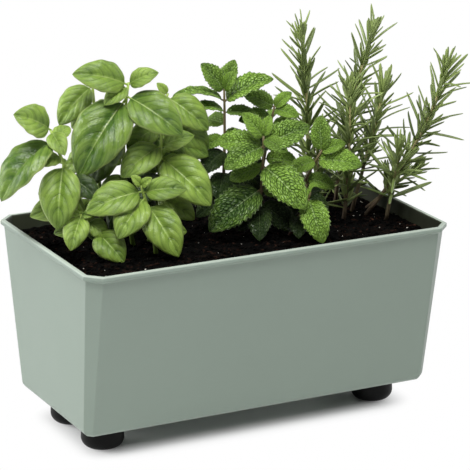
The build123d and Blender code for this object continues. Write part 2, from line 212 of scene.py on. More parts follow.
sage_plastic, tree, shader = new_finish("sage_plastic", 0.42)
cloudy = grain(tree, CLOUD_SCALE, 4.0)
tint = mix_colour(tree, cloudy, scaled(SAGE, 0.96), scaled(SAGE, 1.05))
rounded = add_node(tree, "ShaderNodeBevel", {"Radius": MOULD_EDGE}, samples=6).outputs["Normal"]
upwards = add_node(tree, "ShaderNodeSeparateXYZ", {0: rounded}).outputs["Z"]
# Painted highlight: edges whose rounded normal faces up are mixed towards a paler sage.
tint = mix_colour(tree, ease(tree, upwards, 0.15, 0.75), tint, PAINTED_HIGHLIGHT_SAGE)
# Painted shade: inside walls darken towards a dark film, in patches.
place = add_node(tree, "ShaderNodeTexCoord").outputs["Object"]
from_middle = vector_sum(tree, "MULTIPLY", place, MIDDLE_WEIGHTS)
normal = add_node(tree, "ShaderNodeNewGeometry").outputs["Normal"]
outwards = vector_sum(tree, "DOT_PRODUCT", normal, from_middle, output="Value")
shade_patches = ease(tree, grain(tree, SPLASH_SCALE, 5.0), 0.2, 0.5, 0.8, 1.0)
painted_inner_shade = sum_node(tree, "MULTIPLY", ease(tree, outwards, -0.06, -0.02, 1.0, 0.0), shade_patches)
tree.links.new(mix_colour(tree, painted_inner_shade, tint, PAINTED_SHADE_FILM), shader.inputs["Base Color"])
tree.links.new(ease(tree, cloudy, 0.3, 0.7, 0.38, 0.47), shader.inputs["Roughness"])
dent(tree, shader, grain(tree, MOULD_GRAIN, 2.0), 0.05 * MM, 0.35, over=rounded)
finish_nodes(sage_plastic, "trough")
print("trough finish:", sage_plastic.name, "with", len(tree.nodes), "nodes")

# %% [markdown]
# The feet and the bung are rubber: nearly black, dull, with a dusty bloom that lightens some places. A flat
# black would swallow their round shape, so the bloom changes colour and gloss together, and a fine bump
# keeps the highlights broad.

# %% Rubber on the feet and the bung
RUBBER_GLOSS = 0.14


def rubber(name, dark, dusty):
    """Dull black rubber with a dusty bloom."""
    material, tree, shader = new_finish(name, 0.62)
    shader.inputs["Specular IOR Level"].default_value = RUBBER_GLOSS
    bloom = ease(tree, grain(tree, 120.0, 5.0), 0.5, 0.8)
    tree.links.new(mix_colour(tree, bloom, dark, dusty), shader.inputs["Base Color"])
    tree.links.new(ease(tree, bloom, 0.0, 1.0, 0.5, 0.75), shader.inputs["Roughness"])
    dent(tree, shader, grain(tree, 900.0, 2.0), 0.08 * MM, 0.5)
    return material


feet = [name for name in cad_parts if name.startswith("foot_") and name.count("_") == 2]
finish_nodes(rubber("foot_rubber", (0.004, 0.004, 0.004), (0.009, 0.009, 0.009)), *feet)
finish_nodes(rubber("bung_rubber", (0.030, 0.031, 0.031), (0.055, 0.055, 0.054)), "drain_bung")
print("rubber on", len(feet), "feet and the bung")

# %% [markdown]
# The screws and washers are zinc plated, the grate is black plastic and the fleece is grey felt. They are
# under the trough or under the soil, yet they show when the planter is tipped or emptied. One flat colour
# each would look drawn up close, so noise mixes two shades: the spangle of zinc, the haze of black plastic,
# the fibres of felt.

# %% Zinc, grate and fleece
def two_shades(name, roughness, dark, light, scale, detail=3.0):
    """A finish of two shades that noise mixes. Returns it with its tree, shader and noise."""
    material, tree, shader = new_finish(name, roughness)
    speckle = grain(tree, scale, detail)
    tree.links.new(mix_colour(tree, speckle, dark, light), shader.inputs["Base Color"])
    return material, tree, shader, speckle


zinc, _, shader, _ = two_shades("zinc_steel", 0.36, (0.50, 0.51, 0.52), (0.68, 0.69, 0.69), 350.0)
shader.inputs["Metallic"].default_value = 1.0
finish_nodes(zinc, "foot_screws", "foot_washers")
grate_plastic, tree, shader, _ = two_shades(
    "grate_plastic", 0.5, (0.020, 0.021, 0.021), (0.034, 0.034, 0.033), 60.0)
dent(tree, shader, grain(tree, 700.0, 2.0), 0.06 * MM, 0.5)
finish_nodes(grate_plastic, "drain_grate")
fleece, tree, shader, fibres = two_shades("fleece", 0.95, (0.33, 0.33, 0.31), (0.60, 0.60, 0.57), 800.0, 6.0)
dent(tree, shader, fibres, 0.6 * MM, 0.8)
finish_nodes(fleece, "filter_fleece")
print("finishes:", zinc.name, grate_plastic.name, fleece.name)

# %% [markdown]
# Soil is never flat. A displaced plane would do from above, but its open edge would show beside the walls.
# So the bed starts as a fine grid, its corners are cut off to the trough's eight sides, noise lifts it into
# lumps, and its rim is pulled down into a skirt and closed below. That makes a solid bed.

# %% Soil bed
SOIL_CORNER = 10.5 * MM
SOIL_CELL = 2.2 * MM
SOIL_GAP = 0.4 * MM
SKIRT_DEPTH = 30.0 * MM
SKIRT_DRAFT = (0.99, 0.955)
LUMP = 3.4 * MM
SWELL = 0.8 * MM

soil_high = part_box("potting_soil")[1]
SOIL_TOP = soil_high.z
half_x = soil_high.x - SOIL_GAP
half_y = soil_high.y - SOIL_GAP


def soil_lift(x, y):
    """Height of the lumpy soil above its nominal level."""
    broad = noise.noise(Vector((x * 24, y * 24, 3.0)))
    lumps = noise.fractal(Vector((x * 90, y * 90, 7.0)), 0.9, 2.1, 4)
    return LUMP * (0.55 * broad + 0.5 * lumps) + SWELL


bed = bmesh.new()
bmesh.ops.create_grid(bed, x_segments=round(2 * half_x / SOIL_CELL), y_segments=round(2 * half_y / SOIL_CELL),
                      size=1.0, matrix=Matrix.Diagonal((half_x, half_y, 1.0, 1.0)))
for sign_x in (-1, 1):
    for sign_y in (-1, 1):
        outward = Vector((sign_x, sign_y, 0))
        corner = Vector((sign_x * half_x, sign_y * (half_y - SOIL_CORNER), 0))
        bmesh.ops.bisect_plane(bed, geom=bed.verts[:] + bed.edges[:] + bed.faces[:], plane_co=corner,
                               plane_no=outward, clear_outer=True)
for vert in bed.verts:
    vert.co.z = SOIL_TOP + soil_lift(vert.co.x, vert.co.y)
rim_edges = [edge for edge in bed.edges if edge.is_boundary]
skirt = bmesh.ops.extrude_edge_only(bed, edges=rim_edges)["geom"]
for vert in (part for part in skirt if isinstance(part, bmesh.types.BMVert)):
    vert.co.x *= SKIRT_DRAFT[0]
    vert.co.y *= SKIRT_DRAFT[1]
    vert.co.z = SOIL_TOP - SKIRT_DEPTH
bmesh.ops.holes_fill(bed, edges=[edge for edge in bed.edges if edge.is_boundary])
bmesh.ops.recalc_face_normals(bed, faces=bed.faces[:])
print("soil bed:", len(bed.faces), "faces, open edges", sum(edge.is_boundary for edge in bed.edges))

# %% [markdown]
# Every new piece goes through one helper, so that all are treated alike: it turns a bmesh into an object at
# the origin, gives it its finishes, lets it ride on a body of the solid model, and hides the solids that it
# stands for.

# %% Piece helper
def add_piece(name, mesh_data, materials, body="planter", replaced=(), smooth=True):
    """Turn a bmesh into an object of the scene that moves with a body of the solid model."""
    mesh = bpy.data.meshes.new(name)
    mesh_data.to_mesh(mesh)
    mesh_data.free()
    for material in materials:
        mesh.materials.append(material)
    for face in mesh.polygons:
        face.use_smooth = smooth
    piece = bpy.data.objects.new(name, mesh)
    bpy.context.scene.collection.objects.link(piece)
    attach(piece, body)
    if replaced:
        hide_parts(*replaced)
    return piece


print("piece helper ready for", len(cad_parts), "nodes")

# %% [markdown]
# Moist potting mix is almost black, with reddish-brown bark and fibre in it, and its colours here are darker
# still as painted shade, for the shade that the herbs and walls cast. One brown would look like clay. So the
# colour comes from two noises of different size, and a strong bump breaks up what the grid can't show. The
# bed also stands for the three root balls, which are buried in it.

# %% Soil finish
SOIL_GLOSS = 0.06


def soil_finish(name, dark, brown):
    """Crumbly, nearly black soil with patches of brown."""
    material, tree, shader = new_finish(name, 0.9)
    shader.inputs["Specular IOR Level"].default_value = SOIL_GLOSS
    crumbs = grain(tree, 420.0, 6.0)
    patches = ease(tree, grain(tree, 130.0, 4.0), 0.5, 0.72)
    colour = mix_colour(tree, patches, dark, brown)
    colour = mix_colour(tree, ease(tree, crumbs, 0.35, 0.7), scaled(dark, 0.35), colour)
    tree.links.new(colour, shader.inputs["Base Color"])
    dent(tree, shader, crumbs, 1.2 * MM, 1.0)
    return material


# These near-black colours are partly the mix's own, partly painted shade from the herbs and walls.
dark_soil = soil_finish("potting_mix", (0.0012, 0.0010, 0.0008), (0.017, 0.008, 0.005))
add_piece("soil_bed", bed, [dark_soil],
          replaced=("potting_soil", "basil_root_ball", "mint_root_ball", "rosemary_root_ball"))
print("soil bed placed at", round(SOIL_TOP / MM, 1), "mm")

# %% [markdown]
# Loose crumbs make the soil read as soil. A particle system could strew them, but they wouldn't be part of
# a mesh that can be handed on. So each one is a small icosphere, squeezed and turned by chance and set a
# little into the bed. They are made by the trayful, because a small bmesh is quicker to add to than a large
# one. The same seed gives the same scatter every time.

# %% Scatter helper
TRAY = 60
SCATTER_REACH = (0.985, 0.975)
CORNER_REACH = 1.86
MOSTLY_SMALL = 2.2
TILT = 0.6
CENTRE_LIFT = 0.2
ROUGHEN = 0.28


def scatter(count, seed, smallest, largest, stretch):
    """A bmesh of squeezed icospheres that lie on the soil."""
    chance = random.Random(seed)
    heap = bmesh.new()
    tray_mesh = bpy.data.meshes.new("tray")
    for _ in range(count // TRAY):
        tray = bmesh.new()
        for _ in range(TRAY):
            x = chance.uniform(-half_x, half_x) * SCATTER_REACH[0]
            y = chance.uniform(-half_y, half_y) * SCATTER_REACH[1]
            if abs(x) / half_x + abs(y) / half_y > CORNER_REACH:
                continue
            size = smallest + (largest - smallest) * chance.random() ** MOSTLY_SMALL
            spin = Matrix.Rotation(chance.uniform(0, math.tau), 4, "Z")
            tilt = Matrix.Rotation(chance.uniform(-TILT, TILT), 4, "X")
            shape = Matrix.Diagonal((
                size * chance.uniform(1, stretch), size, size * chance.uniform(0.5, 0.9), 1))
            place = Vector((x, y, SOIL_TOP + soil_lift(x, y) + size * CENTRE_LIFT))
            made = bmesh.ops.create_icosphere(
                tray, subdivisions=1, radius=0.5, matrix=Matrix.Translation(place) @ (spin @ tilt) @ shape)
            for vert in made["verts"]:
                vert.co += (vert.co - place) * chance.uniform(-ROUGHEN, ROUGHEN)
        tray.to_mesh(tray_mesh)
        tray.free()
        heap.from_mesh(tray_mesh)
    bpy.data.meshes.remove(tray_mesh)
    return heap


print("scatter works by trays of", TRAY)

# %% [markdown]
# Three kinds of bits lie on the bed: dark crumbs of the soil itself, bark bits that are longer and browner,
# and a few white grains of perlite. They could be one mesh, but as three pieces each keeps a finish of its
# own. Flat shading keeps them sharp-edged, as broken bits are.

# %% Soil crumbs, bark and perlite
bark_brown = soil_finish("bark", (0.026, 0.012, 0.008), (0.100, 0.044, 0.027))
perlite_white = two_shades("perlite", 0.85, (0.36, 0.33, 0.28), (0.66, 0.63, 0.57), 900.0)[0]
for name, finish, *scattering in (
        ("soil_crumbs", dark_soil, 4200, 11, 0.9 * MM, 4.2 * MM, 1.6),
        ("bark_bits", bark_brown, 720, 12, 0.9 * MM, 2.6 * MM, 4.0),
        ("perlite", perlite_white, 120, 13, 0.7 * MM, 1.8 * MM, 1.3)):
    bits = add_piece(name, scatter(*scattering), [finish], smooth=False)
    print(name, "has", len(bits.data.polygons), "faces")

# %% [markdown]
# The herbs stand where the solid model has them. More than a hundred leaves could be modelled by hand, but
# a row of numbers for each is quicker to set and to change. A shoot is written as its foot and tip around
# the herb's own centre, how far its stem bows aside, and its leaves. A leaf is its height on the stem, the
# compass bearing and rise of its midrib, and its length, and some have two more: a roll that turns the face
# off the light, and a breadth. Sizes are in millimetres and degrees. Basil comes first.

# %% Basil shoots and leaves
BASIL_SHOOTS = [
    ((6, 2), (6, 8, 146), (-6, 2), [
        (144, 165, 15, 50), (144, 320, 25, 30), (142, 190, -25, 28), (134, 310, -30, 60), (132, 190, -50, 80),
        (113, 40, -18, 32), (110, 145, -55, 70), (94, 85, -12, 44), (68, 20, -10, 24), (66, 200, -50, 38)]),
    ((-22, -4), (-67, 9, 112), (-3, 0), [
        (112, 180, 28, 38, 0, 1.3), (110, 275, -33, 28), (103, 185, -42, 70, -26), (102, 35, 20, 24),
        (82, 233, -64, 58), (80, 60, -12, 30), (60, 120, -15, 40), (46, 170, -10, 46), (43, 357, -25, 20)]),
    ((-18, -24), (-50, -12, 40), (0, 0), [
        (40, 180, 15, 14), (39, 300, 10, 14), (39, 225, -48, 34, 0, 1.1), (33, 330, -35, 22, 0, 1.3),
        (29, 164, -8, 33), (24, 298, -38, 37, 0, 1.2)]),
    ((14, -28), (0, -28, 64), (2, 0), [
        (63, 190, 45, 15), (62, 310, 45, 14), (58, 170, -16, 53), (57, 330, 5, 38),
        (52, 205, -38, 46, 0, 1.1), (46, 296, -48, 54), (24, 352, -12, 32)]),
    ((24, 8), (33, 0, 104), (3, 0), [
        (103, 185, 45, 14), (102, 315, 40, 13), (88, 190, -27, 48), (87, 330, 20, 31), (77, 307, -36, 62),
        (76, 20, 5, 24), (44, 316, -33, 40), (42, 35, -5, 29)]),
    ((18, 28), (49, 20, 129), (-3, 2), [
        (128, 153, 50, 14), (126, 324, -39, 47), (112, 340, -40, 54), (111, 130, -35, 31), (95, 60, -25, 46),
        (70, 347, -24, 47), (68, 97, -20, 38), (36, 65, -12, 40)]),
    ((-14, 24), (-15, 38, 141), (2, 3), [
        (139, 176, -45, 45), (139, 0, 55, 16), (122, 30, -35, 29), (121, 140, -47, 30), (104, 80, -30, 46),
        (82, 142, -37, 36), (80, 18, -27, 32), (50, 100, -25, 42), (28, 150, -8, 38)]),
]
print("basil:", [len(shoot[3]) for shoot in BASIL_SHOOTS], "leaves on its shoots")

# %% [markdown]
# Mint is written in the same way. A rosemary sprig needs only its foot, tip and bow, because its needles
# follow a rule of their own. All places are counted from the middle of the top of a herb's root ball.

# %% Mint shoots, rosemary sprigs and the herbs' centres
MINT_SHOOTS = [
    ((-28, 16), (-27, 10, 130), (3, 2), [
        (128, 167, 50, 33), (128, 298, 54, 24), (129, 3, 69, 28), (119, 160, 6, 46, -48),
        (118, 333, 26, 48, 24), (109, 173, 8, 32, -34), (108, 330, -8, 30, 28), (96, 95, -5, 32),
        (84, 167, -20, 24), (82, 20, 12, 22), (58, 85, -12, 34), (36, 140, -10, 34)]),
    ((-10, -18), (-8, -29, 94), (2, 0), [
        (92, 166, 50, 30), (93, 7, 67, 20), (91, 307, -22, 25), (84, 181, -21, 42), (83, 340, 23, 45),
        (82, 148, 7, 42), (66, 300, -34, 56), (64, 134, -25, 34), (44, 180, -34, 60), (42, 354, -6, 34),
        (18, 200, -18, 26)]),
    ((8, 20), (21, 6, 110), (0, 2), [
        (109, 162, 23, 31), (108, 348, 39, 21), (107, 318, -12, 24), (96, 75, -8, 34), (95, 165, -13, 22),
        (94, 341, -24, 33), (70, 95, -18, 38), (60, 351, -13, 33), (58, 177, -24, 22), (34, 62, -14, 34)]),
    ((30, -4), (52, -26, 73), (-2, 2), [
        (72, 83, 80, 32), (71, 333, 23, 24), (64, 325, -6, 41), (63, 168, -21, 27), (46, 345, -20, 28),
        (45, 137, -23, 24), (26, 60, -12, 28)]),
    ((18, -30), (27, -53, 44), (0, 0), [
        (43, 285, 25, 14), (43, 40, 30, 14), (38, 266, -50, 44), (37, 85, -5, 26), (20, 240, -25, 30)]),
]
ROSEMARY_SPRIGS = [
    ((-22, 28), (-27, 32, 168), (4, 0)),
    ((8, 28), (40, 15, 170), (-7, 0)),
    ((-4, -10), (-3, -17, 126), (2, 0)),
    ((20, -6), (67, -67, 150), (10, -4)),
    ((29, -29), (27, -56, 78), (0, 0)),
    ((34, 15), (71, -19, 46), (-3, -2)),
    ((-18, 8), (-26, 2, 84), (0, 2)),
]
HERB_CENTRES = {}
for herb in ("basil", "mint", "rosemary"):
    low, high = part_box(herb + "_root_ball")
    HERB_CENTRES[herb] = Vector(((low.x + high.x) / 2, (low.y + high.y) / 2, high.z))
    print(herb, "centre in mm:", [round(part / MM) for part in HERB_CENTRES[herb]])

# %% [markdown]
# A real bush is also full of leaves in the shade of others. Without them, white would show through it. They
# have no solids of their own, so they are listed apart and made dark. One more rosemary sprig fills its
# bush. Light inside a bush is hard to get right with lamps alone, so some leaves are made darker, or
# lighter where the number is below zero, by their place in a shoot's list, with its hidden leaves counted
# on at the end.

# %% Leaves in the shade
HIDDEN_LEAVES = {
    ("basil", 1): [(50, 305, -30, 38), (40, 215, -35, 34)],
    ("basil", 2): [(88, 195, -8, 26), (70, 310, -30, 34), (30, 260, -30, 26)],
    ("basil", 4): [(30, 60, -20, 34)],
    ("basil", 5): [(62, 215, -30, 40), (64, 120, -20, 36), (30, 250, -30, 36)],
    ("basil", 6): [(98, 200, -20, 38), (90, 300, -35, 42), (54, 300, -30, 42), (52, 200, -20, 34),
                   (96, 335, -27, 52)],
    ("mint", 1): [(72, 205, -25, 36), (68, 335, -10, 34), (52, 235, -30, 36), (48, 315, -20, 36),
                  (28, 200, -20, 34)],
    ("mint", 2): [(56, 60, -10, 34), (30, 325, -35, 40), (27, 245, -35, 38)],
    ("mint", 3): [(98, 182, 4, 34), (78, 205, -20, 34), (48, 240, -25, 36), (46, 320, -20, 34),
                  (26, 200, -20, 32)],
    ("mint", 4): [(34, 230, -30, 32), (32, 310, -30, 32)],
}
HIDDEN_SPRIGS = [((14, 8), (36, -12, 122), (0, 0))]
HIDDEN_SHADE = 0.75
LEAF_SHADES = {
    ("basil", 1): {0: -0.05, 3: 0.12, 4: 0.22, 6: 0.40},
    ("basil", 2): {2: 0.20, 4: -0.10, 9: 0.10},
    ("basil", 3): {0: 0.45, 1: 0.45, 2: 0.10, 3: 0.25, 4: 0.30, 5: 0.20},
    ("basil", 4): {3: 0.22},
    ("basil", 5): {3: 0.15, 4: -0.06, 9: 0.45},
    ("basil", 6): {3: -0.12, 8: 0.0, 9: 0.40, 12: 0.22},
    ("mint", 2): {3: 0.16, 4: 0.08, 8: 0.44, 10: 0.90},
    ("mint", 3): {10: 0.15},
    ("mint", 5): {0: 0.95, 2: -0.10, 4: 0.90},
}
print("leaves in the shade:", sum(len(leaves) for leaves in HIDDEN_LEAVES.values()))

# %% [markdown]
# A stem is a thin tube that tapers and bends to one side. A curve with a bevel would do, but leaf stalks
# couldn't be part of it. So a ring of points is extruded from each place on the stem's line to the next,
# and both ends are capped. Every ring keeps a tone, from old to young, that the finish reads later.

# %% Stem helpers
STEM_STEPS = 10
STEM_SIDES = 8


def stem_point(centre, foot, tip, bow, share):
    """The place on a stem at a share of its height."""
    bend = 4 * share * (1 - share)
    return centre + MM * Vector((
        foot[0] + (tip[0] - foot[0]) * share + bow[0] * bend,
        foot[1] + (tip[1] - foot[1]) * share + bow[1] * bend, tip[2] * share))


def get_tones(body):
    """The layer of a bmesh that holds each point's tone."""
    return body.verts.layers.float.get("tone") or body.verts.layers.float.new("tone")


def add_tube(body, places, radii, sides, tones):
    """Extrude a ring along places, with a radius and a tone at each."""
    tone_layer = get_tones(body)
    rising = (places[1] - places[0]).to_track_quat("Z", "Y").to_matrix().to_4x4()
    ring = bmesh.ops.create_circle(body, cap_ends=True, segments=sides, radius=radii[0],
                                   matrix=Matrix.Translation(places[0]) @ rising)["verts"]
    cap = ring[0].link_faces[0]
    edges = cap.edges[:]
    bmesh.ops.reverse_faces(body, faces=[cap])
    for vert in ring:
        vert[tone_layer] = tones[0]
    for step in range(1, len(places)):
        made = bmesh.ops.extrude_edge_only(body, edges=edges)["geom"]
        verts = [part for part in made if isinstance(part, bmesh.types.BMVert)]
        edges = [part for part in made if isinstance(part, bmesh.types.BMEdge)]
        bmesh.ops.scale(body, verts=verts, vec=Vector.Fill(3, radii[step] / radii[step - 1]),
                        space=Matrix.Translation(-places[step - 1]))
        bmesh.ops.translate(body, verts=verts, vec=places[step] - places[step - 1])
        for vert in verts:
            vert[tone_layer] = tones[step]
    bmesh.ops.contextual_create(body, geom=edges)


def make_stem(centre, foot, tip, bow, thick, thin):
    """A bmesh of one stem, thick and thin being its end radii in millimetres."""
    shares = [step / STEM_STEPS for step in range(STEM_STEPS + 1)]
    wood = bmesh.new()
    add_tube(wood, [stem_point(centre, foot, tip, bow, share) for share in shares],
             [MM * (thick + (thin - thick) * share) for share in shares], STEM_SIDES, shares)
    return wood


print("stems have", STEM_STEPS, "steps of", STEM_SIDES, "sides")

# %% [markdown]
# What sets the leaves of the two herbs apart is a handful of numbers. Basil is broad with a smooth edge,
# and its flesh swells between a few curved veins. Mint is toothed, flatter, and has more veins. Two
# separate leaf models would repeat each other, so one class holds the numbers and one rule below makes
# both.

# %% Kinds of leaf
SMOOTH_ROWS = 34
ROWS_PER_TOOTH = 4


@dataclass
class LeafKind:
    """A herb's leaf. Sizes are shares of its length or half width, and tones run from 0, old, to 1, young;
    painted shade takes them lower.
    """
    width: float
    petiole: float
    blunt_base: float
    blunt_tip: float
    veins: float
    lean: float
    fold: float
    swell: float
    puff: float
    teeth: int
    tooth: float
    columns: int
    base: float
    fresh: float
    fade: float

    def __post_init__(self):
        self.rows = ROWS_PER_TOOTH * self.teeth if self.teeth else SMOOTH_ROWS
        peak = self.blunt_base / (self.blunt_base + self.blunt_tip)
        self.broadest = peak ** self.blunt_base * (1 - peak) ** self.blunt_tip

    def half_width(self, along):
        """Share of the full half width at a share of the blade's length."""
        return along ** self.blunt_base * (1 - along) ** self.blunt_tip / self.broadest


BASIL = LeafKind(width=0.62, petiole=0.07, blunt_base=0.52, blunt_tip=0.77, veins=4.6, lean=0.50, fold=0.10,
                 swell=0.46, puff=0.12, teeth=0, tooth=0.0, columns=18, base=0.70, fresh=0.38, fade=0.30)
MINT = LeafKind(width=0.60, petiole=0.05, blunt_base=0.46, blunt_tip=0.66, veins=6.5, lean=0.36, fold=0.22,
                swell=0.22, puff=0.12, teeth=11, tooth=0.17, columns=14, base=0.63, fresh=0.30, fade=0.06)
print("leaf grids:", BASIL.rows * BASIL.columns, "faces for basil,", MINT.rows * MINT.columns, "for mint")

# %% [markdown]
# A picture on a flat card is the quick way to make a leaf, but it is thin and plain from the side. Here a
# leaf starts as a flat grid with its own UV map, which later guides the veins. Its points are then moved:
# across, to the leaf's outline; along, onto an arch from the stem to the tip; and up or down, so that the
# halves swell beside the midrib, the flesh puffs up between the side veins and the margin waves. Leaves
# turn their faces to the light, as the solid model's do, and a roll turns a face off it again.

# %% Leaf blades
LIGHT = Vector((-0.36, -0.66, 0.66))
ARCH = 0.10
VEIN_CURVE = 1.4
NARROWEST = 0.15 * MM
STALK_SINK = 0.3 * MM
STALK_STEPS = (0.0, 0.55, 1.12, 1.9)


def leaf_axes(bearing, rise, roll):
    """Unit vectors along the midrib, across the blade and out of its face."""
    bearing = math.radians(bearing)
    rise = math.radians(rise)
    along = Vector((math.cos(rise) * math.cos(bearing), math.cos(rise) * math.sin(bearing), math.sin(rise)))
    face = (LIGHT - along * LIGHT.dot(along)).normalized()
    face = face * math.cos(math.radians(roll)) + face.cross(along) * math.sin(math.radians(roll))
    return along, face.cross(along), face


def arch(length, share):
    """How far the midrib stands off the straight line from root to tip."""
    return ARCH * length * 4 * share * (1 - share)


def relief(kind, run, side, cup, wave):
    """How far the blade stands up beside the midrib, as a share of its half width."""
    reach = abs(side)
    between = abs(math.sin(math.pi * kind.veins * (run - kind.lean * reach ** VEIN_CURVE)))
    swell = cup * kind.swell * (reach ** 0.75 - 0.95 * reach ** 2.3)
    puff = 0.0
    if reach < 0.95:
        puff = kind.puff * between ** 0.7 * math.sin(math.pi * min(1.0, reach * 1.05)) ** 0.5
    ripple = 0.05 * math.sin(7 * run * math.pi + wave * (1 if side > 0 else 2)) * reach ** 3
    return kind.fold * reach + swell + puff + ripple


def add_leaf(body, kind, root, axes, length, breadth, tone, chance):
    """Shape one leaf blade into a bmesh. Returns the places along its stalk."""
    along, across, face = axes
    wave = chance.uniform(0, math.tau)
    cup = chance.uniform(0.75, 1.25)
    sideways = chance.uniform(-0.035, 0.035) * length
    tone_layer = get_tones(body)
    grid = bmesh.ops.create_grid(body, x_segments=kind.rows, y_segments=kind.columns, size=0.5, calc_uvs=True)
    for vert in grid["verts"]:
        run = min(max(vert.co.x + 0.5, 0.0), 1.0)
        side = 2 * vert.co.y
        half = max(kind.half_width(run) * kind.width * breadth * length / 2, NARROWEST)
        if kind.teeth:
            half *= 1 + kind.tooth * ((run * kind.teeth) % 1.0 - 0.6) * abs(side) ** 6
        share = kind.petiole + (1 - kind.petiole) * run
        vert.co = (root + along * (length * share) + across * (half * side + sideways * share * share)
                   + face * (arch(length, share) + half * relief(kind, run, side, cup, wave)))
        vert[tone_layer] = tone
    shares = [kind.petiole * step for step in STALK_STEPS]
    return [root + along * (length * share) + face * (arch(length, share) - STALK_SINK) for share in shares]


print("a leaf's midrib arches by", round(100 * ARCH), "% of its length")

# %% [markdown]
# Both leafy herbs share one recipe for their faces. Painted pictures would need a file for each leaf, while
# a UV map already says how far along and how far across the blade a point is. From that come the midrib,
# the side veins that lean towards the tip, the margin, and a finer net between the veins, which bulges on
# mint.

# %% Lines on a leaf
VEIN_LINE = 0.05
MIDRIB_LINE = (0.01, 0.045)
MARGIN_LINE = (0.90, 0.97)


def blade_place(tree):
    """Sockets that tell how far along a blade a point is, how far across, and how far off the midrib."""
    uv = add_node(tree, "ShaderNodeUVMap", uv_map="leaf_map").outputs["UV"]
    split = add_node(tree, "ShaderNodeSeparateXYZ", {0: uv})
    place = SimpleNamespace(run=split.outputs["X"], side=split.outputs["Y"])
    place.reach = sum_node(tree, "ABSOLUTE", sum_node(tree, "MULTIPLY_ADD", place.side, 2.0, -1.0))
    return place


def along_veins(tree, lines, along, across):
    """Coordinates that follow the side veins, for patterns that lie between them."""
    return add_node(tree, "ShaderNodeCombineXYZ", {
        "X": sum_node(tree, "MULTIPLY", lines.phase, along),
        "Y": sum_node(tree, "MULTIPLY", lines.side, across)}).outputs[0]


def leaf_lines(tree, kind, net):
    """The same sockets, and what lines run at the point."""
    lines = blade_place(tree)
    lean = sum_node(tree, "MULTIPLY", sum_node(tree, "POWER", lines.reach, VEIN_CURVE), kind.lean)
    lines.phase = sum_node(tree, "MULTIPLY", sum_node(tree, "SUBTRACT", lines.run, lean), kind.veins)
    lines.off_vein = sum_node(tree, "PINGPONG", lines.phase, 0.5)
    lines.vein = sum_node(tree, "MULTIPLY", ease(tree, lines.off_vein, 0.0, VEIN_LINE, 1.0, 0.0),
                          ease(tree, lines.reach, 0.5, 0.95, 1.0, 0.0))
    lines.midrib = ease(tree, lines.reach, *MIDRIB_LINE, 1.0, 0.0)
    lines.margin = ease(tree, lines.reach, *MARGIN_LINE)
    woven = along_veins(tree, lines, *net)
    lines.off_net = add_node(tree, "ShaderNodeTexVoronoi", {"Vector": woven, "Scale": 1.0, "Randomness": 0.9},
                             feature="DISTANCE_TO_EDGE", voronoi_dimensions="2D").outputs["Distance"]
    return lines


print("side veins on a leaf: about", round(2 * BASIL.veins), "on basil,", round(2 * MINT.veins), "on mint")

# %% [markdown]
# The colour of a blade is laid on in the order in which one sees it: first a green between old and young,
# with soft patches, painted sheen in streaks along the veins and painted shade beside them, then the dark
# net, which is painted shade in its grooves, and its pale crowns, which are a painted highlight, then the
# side veins, darkened as painted shade, and last the pale midrib and margin. The tone that is stored on a
# leaf's points decides how old and how shaded it is.

# %% Leaf colour
SHEEN_STRETCH = (3.0, 1.6)
SHEEN_SCALE = 1.7
PATCH_SCALE = 60.0


def read_tone(tree):
    """The socket of the tone that a piece's points carry."""
    return add_node(tree, "ShaderNodeAttribute", attribute_name="tone").outputs["Fac"]


def blade_green(tree, lines, tone, old, young, streaks):
    """Green between old and young, patchy, with painted sheen streaks and painted shade beside the veins."""
    # Painted sheen: streaks along the veins, lighter and darker in turn.
    painted_sheen = add_node(tree, "ShaderNodeTexNoise", {
        "Vector": along_veins(tree, lines, *SHEEN_STRETCH), "Scale": SHEEN_SCALE, "Detail": 3.0}).outputs["Fac"]
    patches = grain(tree, PATCH_SCALE, 3.0)
    age = sum_node(tree, "MULTIPLY_ADD", patches, 1.2, sum_node(tree, "SUBTRACT", tone, 0.60))
    # Painted shade beside the side veins, painted light on the flesh between them.
    age = sum_node(tree, "ADD", age, ease(tree, lines.off_vein, 0.0, 0.3, -0.07, 0.05))
    age = sum_node(tree, "MULTIPLY_ADD", painted_sheen, streaks, sum_node(tree, "SUBTRACT", age, 0.5 * streaks))
    rim = ease(tree, lines.reach, 0.0, 0.9)
    age = sum_node(tree, "MULTIPLY_ADD", rim, 0.24, sum_node(tree, "SUBTRACT", age, 0.1))
    return mix_colour(tree, age, old, young)


def draw_lines(tree, lines, grown, colour, old, rib, groove, crown_highlight):
    """Lay painted shade in the net and veins, a painted highlight on the net's crowns, then the midrib and
    margin.
    """
    # Painted shade in the grooves of the net.
    net = sum_node(tree, "MULTIPLY", ease(tree, lines.off_net, 0.0, 0.14, groove, 0.0), grown)
    colour = mix_colour(tree, net, colour, scaled(old, 0.45))
    # Painted highlight on the crowns of the net's pillows.
    painted_crown_highlight = sum_node(tree, "MULTIPLY", ease(tree, lines.off_net, 0.15, 0.40, 0.0, crown_highlight), grown)
    colour = mix_colour(tree, painted_crown_highlight, colour, rib)
    # Painted shade in the sunken side veins.
    veins = sum_node(tree, "MULTIPLY", lines.vein, 0.62 + 0.18 * groove)
    colour = mix_colour(tree, veins, colour, scaled(old, 0.5))
    midrib = sum_node(tree, "MULTIPLY", lines.midrib, ease(tree, lines.run, 0.0, 0.9, 0.7, 0.25))
    margin = sum_node(tree, "MULTIPLY", lines.margin, 0.6 - 0.35 * groove)
    return mix_colour(tree, sum_node(tree, "MAXIMUM", midrib, margin), colour, rib)


print("leaf colours follow the tone of each leaf")

# %% [markdown]
# The same lines make the bump, so that colour and relief agree: the flesh between the net stands up like
# small pillows, and veins and midrib are sunk. Basil is glossy with a faint net, mint is duller with a deep
# one. Undersides and stems are paler and plainer, and need only their tone and a fine grain.

